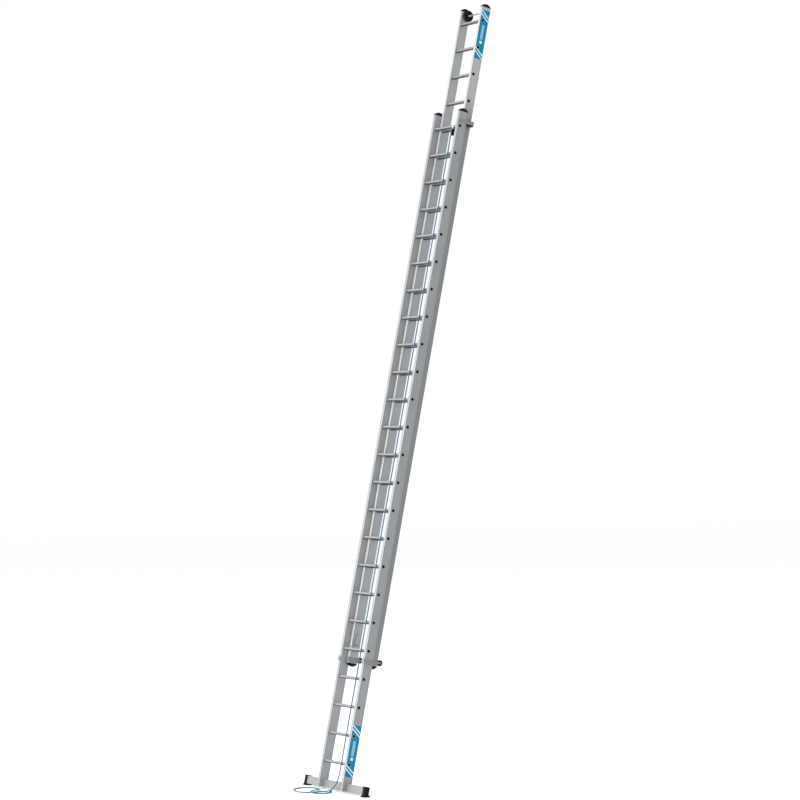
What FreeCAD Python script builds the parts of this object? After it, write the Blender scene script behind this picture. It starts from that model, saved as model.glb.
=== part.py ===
import FreeCAD, Part
import math
import os
import re

import Sketcher

# Two-section extension ladder raised by a rope. Millimetres.
#
# Every piece is drawn in the ladder's own frame: X to the right, Y from the front of the base stiles to
# the rear, Z up along the stiles, with the origin level with the base's lowest rung. Each piece then gets
# one Placement, which leans the ladder back and stands its shoes on the floor at Z = 0.

V = FreeCAD.Vector
doc = FreeCAD.newDocument("extension_ladder")

SIZES = {
    # both sections
    "rung_pitch": 280,
    "rung_count": 24,
    "stile_depth": 105,
    "wall": 2.4,
    "stile_round": 5,
    "rung_setback": 33,
    "rung_depth": 30,
    "rung_height": 28,
    "rung_round": 5,
    "rung_end_radius": 14.95,
    "rung_hole_radius": 15.0,
    "rung_bore_radius": 12.5,
    "collar_radius": 19,
    "collar_thick": 1.6,
    "cap_height": 35,
    "plug_depth": 20,
    # base section
    "base_half_width": 240,
    "base_thick": 34,
    "base_top": 150,
    "base_bottom": 262,
    # fly section
    "fly_half_width": 203,
    "fly_thick": 32,
    "fly_front": 74.5,
    "fly_top": 141,
    "fly_bottom": 133,
    "fly_lead": 4,
    # crossbar and shoes
    "bar_half_length": 577.5,
    "bar_front": 57,
    "bar_depth": 40,
    "bar_height": 80,
    "bar_wall": 3,
    "bar_floor_gap": 10,
    "bolt_radius": 4,
    "bolt_hole_radius": 4.2,
    "lean_back": 11.6,
    # wall rollers at the fly's top
    "axle_radius": 6,
    "axle_above_rung": 103,
    "axle_depth": 150,
    "tyre_radius": 56,
    "hub_radius": 46,
    "roller_width": 30,
    "roller_gap": 3,
    # rope and pulley
    "rope_radius": 6,
    "rope_offset": 135,
    "sheave_pitch_radius": 24,
    "sheave_radius": 27,
    "sheave_width": 16,
    "sheave_drop": 66,
    "pin_radius": 4,
    "running_clearance": 0.06,
}

sheet = doc.addObject("Spreadsheet::Sheet", "Sizes")
for row, (alias, value) in enumerate(SIZES.items(), start=1):
    sheet.set(f"A{row}", alias)
    sheet.set(f"B{row}", str(value))
    sheet.setAlias(f"B{row}", alias)
doc.recompute()


def size(alias):
    """A driving dimension, read from the spreadsheet."""
    return float(getattr(sheet, alias))


def bound(text):
    """An expression over the spreadsheet: each alias in text gets the sheet's name in front of it."""
    return re.sub("[a-z_]+", lambda word: f"Sizes.{word[0]}" if word[0] in SIZES else word[0], str(text))


# ------------------------------------------------ the lean

LEAN_AXIS = V(1, 0, 0)
lean_turn = FreeCAD.Rotation(LEAN_AXIS, -size("lean_back"))
bar_middle = V(0, size("bar_front") + size("bar_depth") / 2, size("bar_height") / 2 - size("base_bottom"))
bar_rear_corner = V(0, size("bar_front") + size("bar_depth"), -size("base_bottom"))
lean_shift = V(
    0,
    -lean_turn.multVec(bar_middle).y,
    size("bar_floor_gap") - lean_turn.multVec(bar_rear_corner).z,
)
lean = FreeCAD.Placement(lean_shift, lean_turn)
level = lean.inverse()

kept = []


def keep(obj, label):
    """Take obj as a finished piece: its label names its file, and its Placement leans it."""
    obj.Label = label
    obj.Placement = lean
    kept.append(obj)
    return obj


# ------------------------------------------------ Part helpers


def place(obj, at):
    for axis, text in zip("xyz", at, strict=True):
        obj.setExpression(f"Placement.Base.{axis}", bound(text))


def box(name, dims, at):
    """A box from its lowest corner."""
    obj = doc.addObject("Part::Box", name)
    for prop, text in zip(("Length", "Width", "Height"), dims, strict=True):
        obj.setExpression(prop, bound(text))
    place(obj, at)
    return obj


def span_box(name, side, x_range, y_range, z_range):
    """A box between two distances from the middle plane, on the side given by +1 or -1."""
    near, far = x_range
    start = f"( {near} )" if side > 0 else f"-( {far} )"
    dims = (f"( {far} ) - ( {near} )",) + tuple(f"( {b} ) - ( {a} )" for a, b in (y_range, z_range))
    return box(name, dims, (start, y_range[0], z_range[0]))


TURNS = {"X": (V(0, 1, 0), 90), "Y": (V(1, 0, 0), -90), "Z": (V(0, 0, 1), 0)}


def rod(name, radius, length, at, along="X"):
    """A cylinder that runs from at in the positive direction of one axis."""
    obj = doc.addObject("Part::Cylinder", name)
    obj.Placement.Rotation = FreeCAD.Rotation(*TURNS[along])
    obj.setExpression("Radius", bound(radius))
    obj.setExpression("Height", bound(length))
    place(obj, at)
    return obj


def side_rod(name, side, radius, x_range, y, z):
    """A cylinder along X between two distances from the middle plane."""
    near, far = x_range
    start = f"( {near} )" if side > 0 else f"-( {far} )"
    return rod(name, radius, f"( {far} ) - ( {near} )", (start, y, z))


def fuse(name, shapes):
    obj = doc.addObject("Part::MultiFuse", name)
    obj.Shapes = shapes
    obj.Refine = True
    return obj


def cut(name, base, tools):
    obj = doc.addObject("Part::Cut", name)
    obj.Base = base
    obj.Tool = tools[0] if len(tools) == 1 else fuse(f"{name}_tools", tools)
    obj.Refine = True
    return obj


def group(name, shapes):
    """Separate solids in one piece."""
    obj = doc.addObject("Part::Compound", name)
    obj.Links = shapes
    return obj


def round_edges(name, base, radius, wanted):
    """Fillet the edges of base whose middle point wanted() accepts."""
    doc.recompute()
    obj = doc.addObject("Part::Fillet", name)
    obj.Base = base
    picked = []
    for number, edge in enumerate(base.Shape.Edges, start=1):
        middle = edge.valueAt((edge.FirstParameter + edge.LastParameter) / 2)
        if wanted(edge, middle):
            picked.append((number, radius, radius))
    obj.Edges = picked
    return obj


def along(edge, axis):
    """True if a straight edge is parallel to axis."""
    if edge.Curve.TypeId != "Part::GeomLine":
        return False
    return abs(abs(edge.tangentAt(edge.FirstParameter).dot(axis)) - 1) < 1e-6


# ------------------------------------------------ PartDesign helpers


def new_body(name):
    return doc.addObject("PartDesign::Body", name)


def new_sketch(body, name, plane, offset=("0", "0", "0")):
    """A sketch on one of the body's origin planes. offset is along the sketch's own X, Y and normal."""
    sketch = body.newObject("Sketcher::SketchObject", name)
    support = next(f for f in body.Origin.OriginFeatures if f.Role == plane)
    sketch.AttachmentSupport = [(support, "")]
    sketch.MapMode = "FlatFace"
    for axis, text in zip("xyz", offset, strict=True):
        sketch.setExpression(f"AttachmentOffset.Base.{axis}", bound(text))
    return sketch


def add_rectangle(sketch, width, height):
    """A rectangle about the sketch's origin whose sides are bound to the spreadsheet."""
    first = sketch.GeometryCount
    half_w, half_h = 10, 10
    corners = [V(-half_w, -half_h), V(half_w, -half_h), V(half_w, half_h), V(-half_w, half_h)]
    for i in range(4):
        sketch.addGeometry(Part.LineSegment(corners[i], corners[(i + 1) % 4]), False)
    for i in range(4):
        sketch.addConstraint(Sketcher.Constraint("Coincident", first + i, 2, first + (i + 1) % 4, 1))
    for i, kind in enumerate(("Horizontal", "Vertical", "Horizontal", "Vertical")):
        sketch.addConstraint(Sketcher.Constraint(kind, first + i))
    sketch.addConstraint(Sketcher.Constraint("Symmetric", first, 1, first + 2, 1, -1, 1))
    for line, kind, text in ((first, "DistanceX", width), (first + 1, "DistanceY", height)):
        number = sketch.addConstraint(Sketcher.Constraint(kind, line, 1, line, 2, 2 * half_w))
        sketch.setExpression(f"Constraints[{number}]", bound(text))


def add_circle(sketch, radius):
    """A circle about the sketch's origin."""
    first = sketch.GeometryCount
    sketch.addGeometry(Part.Circle(V(0, 0, 0), V(0, 0, 1), 10), False)
    sketch.addConstraint(Sketcher.Constraint("Coincident", first, 3, -1, 1))
    number = sketch.addConstraint(Sketcher.Constraint("Radius", first, 10))
    sketch.setExpression(f"Constraints[{number}]", bound(radius))


def add_outline(sketch, points):
    """A closed outline of straight lines."""
    first = sketch.GeometryCount
    count = len(points)
    for i in range(count):
        sketch.addGeometry(Part.LineSegment(V(*points[i]), V(*points[(i + 1) % count])), False)
    for i in range(count):
        sketch.addConstraint(Sketcher.Constraint("Coincident", first + i, 2, first + (i + 1) % count, 1))


def pad(body, sketch, length, middle=False):
    feature = body.newObject("PartDesign::Pad", f"{sketch.Name}_pad")
    feature.Profile = sketch
    feature.Midplane = middle
    feature.setExpression("Length", bound(length))
    doc.recompute()
    return feature


def pocket(body, sketch, length=None, reverse=False):
    """A cut through everything, both ways from the sketch, or of one length. It must take something away."""
    before = body.Shape.Volume
    feature = body.newObject("PartDesign::Pocket", f"{sketch.Name}_pocket")
    feature.Profile = sketch
    if length is None:
        feature.Type = "ThroughAll"
        feature.Midplane = True
    else:
        feature.setExpression("Length", bound(length))
        feature.Reversed = reverse
    doc.recompute()
    if not body.Shape.Volume < before - 0.01:
        raise RuntimeError(f"{feature.Name} cuts nothing")
    return feature


def fillet(body, name, radius, wanted):
    doc.recompute()
    base = body.Tip
    picked = []
    for number, edge in enumerate(base.Shape.Edges, start=1):
        middle = edge.valueAt((edge.FirstParameter + edge.LastParameter) / 2)
        if wanted(edge, middle):
            picked.append(f"Edge{number}")
    feature = body.newObject("PartDesign::Fillet", name)
    feature.Base = (base, picked)
    feature.setExpression("Radius", bound(radius))
    doc.recompute()
    return feature


def repeat_up(body, feature, sketch, length, count):
    """Repeat one cut along the stile."""
    pattern = body.newObject("PartDesign::LinearPattern", f"{feature.Name}_pattern")
    pattern.Originals = [feature]
    pattern.Direction = (sketch, ["V_Axis"])
    pattern.setExpression("Length", bound(length))
    pattern.setExpression("Occurrences", bound(count))
    body.Tip = pattern
    doc.recompute()
    return pattern


SIDES = (("left", -1), ("right", 1))

# ------------------------------------------------ stiles

GROOVE_INSET = 13
GROOVE_WIDTH = 2.5
GROOVE_DEPTH = 0.9
PILOT_RADIUS = 3.2
AXLE_HOLE_RADIUS = 6.1
bracket_bolts = [(136, -92), (166, -92)]
hook_pivot = (118, 48)


def stile(label, side, half_width, thick, front, bottom, length, first_rung):
    """A hollow stile with rounded edges, a groove near each edge of its sides, and a row of rung holes."""
    body = new_body(label)
    centre = f"{side} * ( {half_width} - {thick} / 2 )"
    profile = new_sketch(body, f"{label}_profile", "XY_Plane", (centre, f"{front} + stile_depth / 2", bottom))
    add_rectangle(profile, thick, "stile_depth")
    add_rectangle(profile, f"{thick} - 2 * wall", "stile_depth - 2 * wall")
    pad(body, profile, length)
    middle_x = side * (size(half_width) - size(thick) / 2)
    middle_y = (size(front) if front in SIZES else float(front)) + size("stile_depth") / 2

    def outer_corner(edge, point):
        far_x = abs(abs(point.x - middle_x) - size(thick) / 2) < 0.01
        far_y = abs(abs(point.y - middle_y) - size("stile_depth") / 2) < 0.01
        return far_x and far_y and along(edge, V(0, 0, 1))

    fillet(body, f"{label}_rounding", "stile_round", outer_corner)

    grooves = new_sketch(body, f"{label}_grooves", "XY_Plane", (centre, f"{front} + stile_depth / 2", bottom))
    reach = size("stile_depth") / 2 - GROOVE_INSET
    for x_side in (-1, 1):
        for y_middle in (-reach, reach):
            x_out = x_side * (size(thick) / 2 + 1)
            x_in = x_side * (size(thick) / 2 - GROOVE_DEPTH)
            low, high = y_middle - GROOVE_WIDTH / 2, y_middle + GROOVE_WIDTH / 2
            add_outline(grooves, [(x_out, low, 0), (x_in, low, 0), (x_in, high, 0), (x_out, high, 0)])
    pocket(body, grooves)

    hole = new_sketch(body, f"{label}_rung_hole", "YZ_Plane", (f"{front} + rung_setback", first_rung, "0"))
    add_circle(hole, "rung_hole_radius")
    first = pocket(body, hole)
    repeat_up(body, first, hole, "rung_pitch * ( rung_count - 1 )", "rung_count")
    return body


base_length = "base_bottom + rung_pitch * ( rung_count - 1 ) + base_top"
fly_length = "fly_bottom + rung_pitch * ( rung_count - 1 ) + fly_top"
fly_first = "fly_lead * rung_pitch"
fly_last = "rung_pitch * ( fly_lead + rung_count - 1 )"
BAR_BOLT_LEVELS = (-242, -202)

for name, side in SIDES:
    body = stile(
        f"base_stile_{name}", side, "base_half_width", "base_thick", "0", "-base_bottom", base_length, "0"
    )
    # the crossbar passes through a notch in the rear half of the stile's lower end
    notch = new_sketch(
        body,
        f"notch_{name}",
        "YZ_Plane",
        ("bar_front + stile_depth / 2", "bar_height / 2 - base_bottom", "0"),
    )
    add_rectangle(notch, "stile_depth", "bar_height")
    pocket(body, notch)
    for number, height in enumerate(BAR_BOLT_LEVELS):
        hole = new_sketch(
            body,
            f"bar_bolt_hole_{name}_{number}",
            "XZ_Plane",
            (f"{side} * ( base_half_width - base_thick / 2 )", str(height), "0"),
        )
        add_circle(hole, "bolt_hole_radius")
        pocket(body, hole)
    keep(body, f"base_stile_{name}")

for name, side in SIDES:
    body = stile(
        f"fly_stile_{name}",
        side,
        "fly_half_width",
        "fly_thick",
        "fly_front",
        f"{fly_first} - fly_bottom",
        fly_length,
        fly_first,
    )
    for number, (depth, height) in enumerate(bracket_bolts):
        at = (str(depth), f"{fly_first} + {height}", "0")
        hole = new_sketch(body, f"bracket_hole_{name}_{number}", "YZ_Plane", at)
        add_circle(hole, str(PILOT_RADIUS))
        pocket(body, hole)
    inner_wall = "fly_half_width - fly_thick + wall + 2"
    for tag, depth, height, radius in (
        ("axle", "axle_depth", f"{fly_last} + axle_above_rung", str(AXLE_HOLE_RADIUS)),
        ("pivot", str(hook_pivot[0]), f"{fly_first} + {hook_pivot[1]}", "bolt_hole_radius"),
    ):
        hole = new_sketch(body, f"{tag}_hole_{name}", "YZ_Plane", (depth, height, "0"))
        add_circle(hole, radius)
        pocket(body, hole, inner_wall, reverse=side > 0)
    keep(body, f"fly_stile_{name}")

# ------------------------------------------------ rungs

TREAD_GROOVE = 2.2
TREAD_GROOVE_DEPTH = 0.8
TREAD_GROOVE_PITCH = 5
RUNGS_PER_NODE = 6


def rung(name, half_width, thick):
    """One rung about the origin: a ribbed square tube whose round ends pass through the stiles and flare."""
    body = new_body(name)
    section = new_sketch(body, f"{name}_section", "YZ_Plane")
    add_rectangle(section, "rung_depth", "rung_height")
    pad(body, section, f"2 * ( {half_width} - {thick} )", middle=True)
    fillet(body, f"{name}_rounding", "rung_round", lambda edge, point: along(edge, V(1, 0, 0)))
    treads = new_sketch(body, f"{name}_treads", "YZ_Plane")
    top = size("rung_height") / 2
    for number in range(-1, 2):
        middle = number * TREAD_GROOVE_PITCH
        low, high = middle - TREAD_GROOVE / 2, middle + TREAD_GROOVE / 2
        floor, over = top - TREAD_GROOVE_DEPTH, top + 1
        add_outline(treads, [(low, floor, 0), (high, floor, 0), (high, over, 0), (low, over, 0)])
    pocket(body, treads)
    ends = new_sketch(body, f"{name}_ends", "YZ_Plane")
    add_circle(ends, "rung_end_radius")
    pad(body, ends, f"2 * ( {half_width} + collar_thick )", middle=True)
    for tag, side in SIDES:
        shift = half_width if side > 0 else f"-{half_width} - collar_thick"
        collar = new_sketch(body, f"{name}_collar_{tag}", "YZ_Plane", ("0", "0", shift))
        add_circle(collar, "collar_radius")
        pad(body, collar, "collar_thick")
    bore = new_sketch(body, f"{name}_bore", "YZ_Plane")
    add_circle(bore, "rung_bore_radius")
    pocket(body, bore)
    return body


def rung_row(prefix, body, depth, first_level):
    """All rungs of one section, as pieces of a few rungs each, copied from the one rung."""
    count = int(size("rung_count"))
    for start in range(0, count, RUNGS_PER_NODE):
        copies = []
        for number in range(start, start + RUNGS_PER_NODE):
            copies.append(body.Shape.translated(V(0, depth, first_level + number * size("rung_pitch"))))
        row = doc.addObject("Part::Feature", f"{prefix}_rungs_{start + 1}_to_{start + RUNGS_PER_NODE}")
        row.Shape = Part.makeCompound(copies)
        keep(row, row.Name)


fly_level = size("fly_lead") * size("rung_pitch")
base_rung = rung("base_rung", "base_half_width", "base_thick")
fly_rung = rung("fly_rung", "fly_half_width", "fly_thick")
rung_row("base", base_rung, size("rung_setback"), 0)
rung_row("fly", fly_rung, size("fly_front") + size("rung_setback"), fly_level)

# ------------------------------------------------ domed end caps

CAP_SKIRT = 9
CAP_ROUND = 8
PLUG_GAP = 0.1


def end_cap(label, side, half_width, thick, front, level_text, up):
    """A domed cap on a stile's end, with a plug inside the stile. up is +1 at the top, -1 at the bottom."""
    body = new_body(label)
    centre_x = f"{side} * ( {half_width} - {thick} / 2 )"
    front_y = size(front) if front in SIZES else float(front)
    dome = new_sketch(body, f"{label}_dome", "YZ_Plane", (str(front_y), level_text, centre_x))
    deep, high = size("stile_depth"), size("cap_height")
    a, b, c, d = V(0, 0), V(deep, 0), V(deep, up * CAP_SKIRT), V(0, up * CAP_SKIRT)
    crown = Part.Arc(V(deep, up * CAP_SKIRT), V(deep / 2, up * high), V(0, up * CAP_SKIRT))
    for geometry in (Part.LineSegment(a, b), Part.LineSegment(b, c), crown, Part.LineSegment(d, a)):
        dome.addGeometry(geometry, False)
    pad(body, dome, thick, middle=True)

    def crown_edge(edge, point):
        outside = abs(abs(point.x - side * (size(half_width) - size(thick) / 2)) - size(thick) / 2) < 0.01
        return outside and edge.Curve.TypeId == "Part::GeomCircle"

    fillet(body, f"{label}_rounding", str(CAP_ROUND), crown_edge)
    drop = f"{level_text} - plug_depth" if up > 0 else level_text
    plug = new_sketch(body, f"{label}_plug", "XY_Plane", (centre_x, f"{front} + stile_depth / 2", drop))
    add_rectangle(plug, f"{thick} - 2 * wall - {2 * PLUG_GAP}", f"stile_depth - 2 * wall - {2 * PLUG_GAP}")
    pad(body, plug, "plug_depth")
    keep(body, label)


base_top_level = "rung_pitch * ( rung_count - 1 ) + base_top"
for name, side in SIDES:
    end_cap(f"base_cap_{name}", side, "base_half_width", "base_thick", "0", base_top_level, 1)
    fly_end = (side, "fly_half_width", "fly_thick", "fly_front")
    end_cap(f"fly_top_cap_{name}", *fly_end, f"{fly_last} + fly_top", 1)
    end_cap(f"fly_bottom_cap_{name}", *fly_end, f"{fly_first} - fly_bottom", -1)

# ------------------------------------------------ crossbar and its fastenings

BAR_ROUND = 4
bar = new_body("crossbar")
bar_section = new_sketch(
    bar, "bar_section", "YZ_Plane", ("bar_front + bar_depth / 2", "bar_height / 2 - base_bottom", "0")
)
add_rectangle(bar_section, "bar_depth", "bar_height")
add_rectangle(bar_section, "bar_depth - 2 * bar_wall", "bar_height - 2 * bar_wall")
pad(bar, bar_section, "2 * bar_half_length", middle=True)


def bar_corner(edge, point):
    far_y = abs(abs(point.y - bar_middle.y) - size("bar_depth") / 2) < 0.01
    far_z = abs(abs(point.z - bar_middle.z) - size("bar_height") / 2) < 0.01
    return far_y and far_z and along(edge, V(1, 0, 0))


fillet(bar, "bar_rounding", str(BAR_ROUND), bar_corner)
for name, side in SIDES:
    for number, height in enumerate(BAR_BOLT_LEVELS):
        hole = new_sketch(
            bar,
            f"bar_hole_{name}_{number}",
            "XZ_Plane",
            (f"{side} * ( base_half_width - base_thick / 2 )", str(height), "0"),
        )
        add_circle(hole, "bolt_hole_radius")
        pocket(bar, hole)
keep(bar, "crossbar")

BOLT_HEAD_RADIUS = 8
BOLT_HEAD_HEIGHT = 4
BOLT_HEAD_DOME = 3
THREAD_PAST_NUT = 3
NUT_RADIUS = 7.5
NUT_HEIGHT = 6.5
SPACER_RADIUS = 8
bolts, nuts, spacers = [], [], []
for name, side in SIDES:
    for number, height in enumerate(BAR_BOLT_LEVELS):
        tag = f"{name}_{number}"
        where = (f"{side} * ( base_half_width - base_thick / 2 )", "0", str(height))
        rear = "bar_front + bar_depth"
        head_at = (where[0], -BOLT_HEAD_HEIGHT, where[2])
        head = rod(f"head_{tag}", BOLT_HEAD_RADIUS, BOLT_HEAD_HEIGHT, head_at, "Y")
        head = round_edges(
            f"domed_head_{tag}",
            head,
            BOLT_HEAD_DOME,
            lambda edge, point: edge.Curve.TypeId == "Part::GeomCircle" and point.y < -BOLT_HEAD_HEIGHT + 0.1,
        )
        shank = rod(f"shank_{tag}", "bolt_radius", f"{rear} + {NUT_HEIGHT + THREAD_PAST_NUT}", where, "Y")
        bolts.append(fuse(f"bolt_{tag}", [head, shank]))
        nut = doc.addObject("Part::Prism", f"nut_blank_{tag}")
        nut.Polygon = 6
        nut.Circumradius = NUT_RADIUS
        nut.Height = NUT_HEIGHT
        nut.Placement.Rotation = FreeCAD.Rotation(*TURNS["Y"])
        place(nut, (where[0], rear, where[2]))
        thread = rod(f"thread_{tag}", "bolt_radius", NUT_HEIGHT, (where[0], rear, where[2]), "Y")
        nuts.append(cut(f"nut_{tag}", nut, [thread]))
        tube_at = (where[0], "wall", where[2])
        tube = rod(f"tube_{tag}", SPACER_RADIUS, "bar_front - wall", tube_at, "Y")
        inside = rod(f"tube_bore_{tag}", "bolt_hole_radius", "bar_front - wall", tube_at, "Y")
        spacers.append(cut(f"spacer_{tag}", tube, [inside]))
keep(group("crossbar_bolts", bolts), "crossbar_bolts")
keep(group("crossbar_nuts", nuts), "crossbar_nuts")
keep(group("crossbar_spacers", spacers), "crossbar_spacers")

# ------------------------------------------------ rubber shoes

SHOE_WALL = 4.5
SHOE_INNER_X = 530
SHOE_LIP = 2.5
SHOE_LIP_HEIGHT = 9
SHOE_ROUND = 5
SHOE_LIP_ROUND = 3.5
SOLE_X = (518, 590)
SOLE_Y = (-38, 30)
SOLE_HEIGHT = 14


def all_edges(edge, point):
    return True


for name, side in SIDES:
    sleeve = span_box(
        f"sleeve_{name}",
        side,
        (SHOE_INNER_X, f"bar_half_length + {SHOE_WALL}"),
        (f"bar_front - {SHOE_WALL}", f"bar_front + bar_depth + {SHOE_WALL}"),
        (f"-base_bottom - {SHOE_WALL}", f"bar_height - base_bottom + {SHOE_WALL}"),
    )
    lip = span_box(
        f"lip_{name}",
        side,
        (SHOE_INNER_X - SHOE_LIP, f"bar_half_length + {SHOE_WALL + SHOE_LIP}"),
        (f"bar_front - {SHOE_WALL + SHOE_LIP}", f"bar_front + bar_depth + {SHOE_WALL + SHOE_LIP}"),
        (
            f"bar_height - base_bottom + {SHOE_WALL - SHOE_LIP_HEIGHT}",
            f"bar_height - base_bottom + {SHOE_WALL + 1}",
        ),
    )
    # the sole is level, so that it stands flat on the floor while the sleeve leans with the ladder
    sole = doc.addObject("Part::Box", f"sole_{name}")
    sole.Length = SOLE_X[1] - SOLE_X[0]
    sole.Width = SOLE_Y[1] - SOLE_Y[0]
    sole.Height = SOLE_HEIGHT
    start_x = SOLE_X[0] if side > 0 else -SOLE_X[1]
    sole.Placement = level.multiply(FreeCAD.Placement(V(start_x, SOLE_Y[0], 0), FreeCAD.Rotation()))
    blocks = [
        round_edges(f"round_sleeve_{name}", sleeve, SHOE_ROUND, all_edges),
        round_edges(f"round_lip_{name}", lip, SHOE_LIP_ROUND, all_edges),
        round_edges(f"round_sole_{name}", sole, SHOE_ROUND, all_edges),
    ]
    cavity = span_box(
        f"cavity_{name}",
        side,
        (SHOE_INNER_X - 20, "bar_half_length"),
        ("bar_front", "bar_front + bar_depth"),
        ("-base_bottom", "bar_height - base_bottom"),
    )
    keep(cut(f"shoe_{name}", fuse(f"shoe_blank_{name}", blocks), [cavity]), f"shoe_{name}")

# ------------------------------------------------ top guide brackets, on the base

PLATE = 3
TOP_BAND = (38, 72)
TOP_BLOCK = (24, 76)
TOP_REAR = 187
RIVET_DEPTHS = (20, 55, 90)
RIVET_RADIUS = 2.5
RIVET_HEAD_RADIUS = 5
RIVET_HEAD_HEIGHT = 2
RIVET_DOME = 1.6
STRAP_FRONT = 10
STRAP_INNER_X = 173
STRAP_ROUND = 2.5
GUIDE_INNER_X = 174
GUIDE_FRONT = 106
GUIDE_STEP = 180
base_last = "rung_pitch * ( rung_count - 1 )"
rivets = []
for name, side in SIDES:
    heights = tuple(f"{base_last} + {h}" for h in TOP_BAND)
    strap = span_box(
        f"strap_{name}",
        side,
        ("base_half_width", f"base_half_width + {PLATE}"),
        (STRAP_FRONT, TOP_REAR + PLATE),
        heights,
    )
    rear = span_box(
        f"strap_rear_{name}",
        side,
        (STRAP_INNER_X, f"base_half_width + {PLATE}"),
        (TOP_REAR, TOP_REAR + PLATE),
        heights,
    )
    holes = []
    for number, depth in enumerate(RIVET_DEPTHS):
        tag = f"{name}_{number}"
        where = (depth, f"{base_last} + {sum(TOP_BAND) / 2}")
        face = "base_half_width"
        through = (face, f"{face} + {PLATE}")
        head_x = (f"{face} + {PLATE}", f"{face} + {PLATE + RIVET_HEAD_HEIGHT}")
        holes.append(side_rod(f"rivet_hole_{tag}", side, RIVET_RADIUS, through, *where))
        stem = side_rod(f"rivet_stem_{tag}", side, RIVET_RADIUS, through, *where)
        top = side_rod(f"rivet_top_{tag}", side, RIVET_HEAD_RADIUS, head_x, *where)
        limit = size("base_half_width") + PLATE + RIVET_HEAD_HEIGHT - 0.1
        top = round_edges(
            f"rivet_dome_{tag}",
            top,
            RIVET_DOME,
            lambda edge, point, limit=limit: edge.Curve.TypeId == "Part::GeomCircle" and abs(point.x) > limit,
        )
        rivets.append(fuse(f"rivet_{tag}", [stem, top]))
    blank = fuse(f"top_bracket_blank_{name}", [strap, rear])
    corner_x = size("base_half_width") + PLATE
    blank = round_edges(
        f"top_bracket_round_{name}",
        blank,
        STRAP_ROUND,
        lambda edge, point, corner_x=corner_x: abs(abs(point.x) - corner_x) < 0.01
        and abs(point.y - TOP_REAR - PLATE) < 0.01,
    )
    keep(cut(f"top_bracket_{name}", blank, holes), f"top_bracket_{name}")
    inner = "base_half_width - base_thick"
    block_heights = tuple(f"{base_last} + {h}" for h in TOP_BLOCK)
    side_x = (inner, "base_half_width")
    side_block = span_box(f"side_block_{name}", side, side_x, (GUIDE_FRONT, TOP_REAR), block_heights)
    rear_x = (GUIDE_INNER_X, inner)
    rear_block = span_box(f"rear_block_{name}", side, rear_x, (GUIDE_STEP, TOP_REAR), block_heights)
    keep(fuse(f"top_guide_{name}", [side_block, rear_block]), f"top_guide_{name}")
keep(group("top_bracket_rivets", rivets), "top_bracket_rivets")

# ------------------------------------------------ lower guide brackets, on the fly

BAND = (-128, -88)
CHEEK = (-126, -76)
ARM = (-104, -84)
BAND_X = (245, 249)
LIP_Y = (-9, -5)
LIP_INNER_X = 207
LIP_RISE = 6
LIP_ROUND = 13
BAND_ROUND = 3.5
CROSS_Y = (108, 112)
ROLLER_Y = 211
ROLLER_Z = sum(ARM) / 2
GLIDE_INSET = 2
GLIDE_GAP = 0.6
SIDE_GLIDE_GAP = 0.8
SIDE_GLIDE_Y = (60, 102)
FRONT_GLIDE_X = (212, 236)
REAR_GLIDE_X = (210, 238)
FIX_RADIUS = 3
FIX_HEAD_RADIUS = 5.5
FIX_HEAD_HEIGHT = 4
ROLLER_HEAD_RADIUS = 6.5
ROLLER_HEAD_HEIGHT = 5
SHOULDER_RADIUS = 7
SHOULDER_X = (174.5, 199.5)
THREAD_PAST_HEAD = 1
ARM_ROUND = (ARM[1] - ARM[0]) / 2
REAR = "fly_front + stile_depth"
INNER_FACE = "fly_half_width - fly_thick"


def fly_heights(pair):
    return tuple(f"{fly_first} + {h}" for h in pair)


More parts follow.
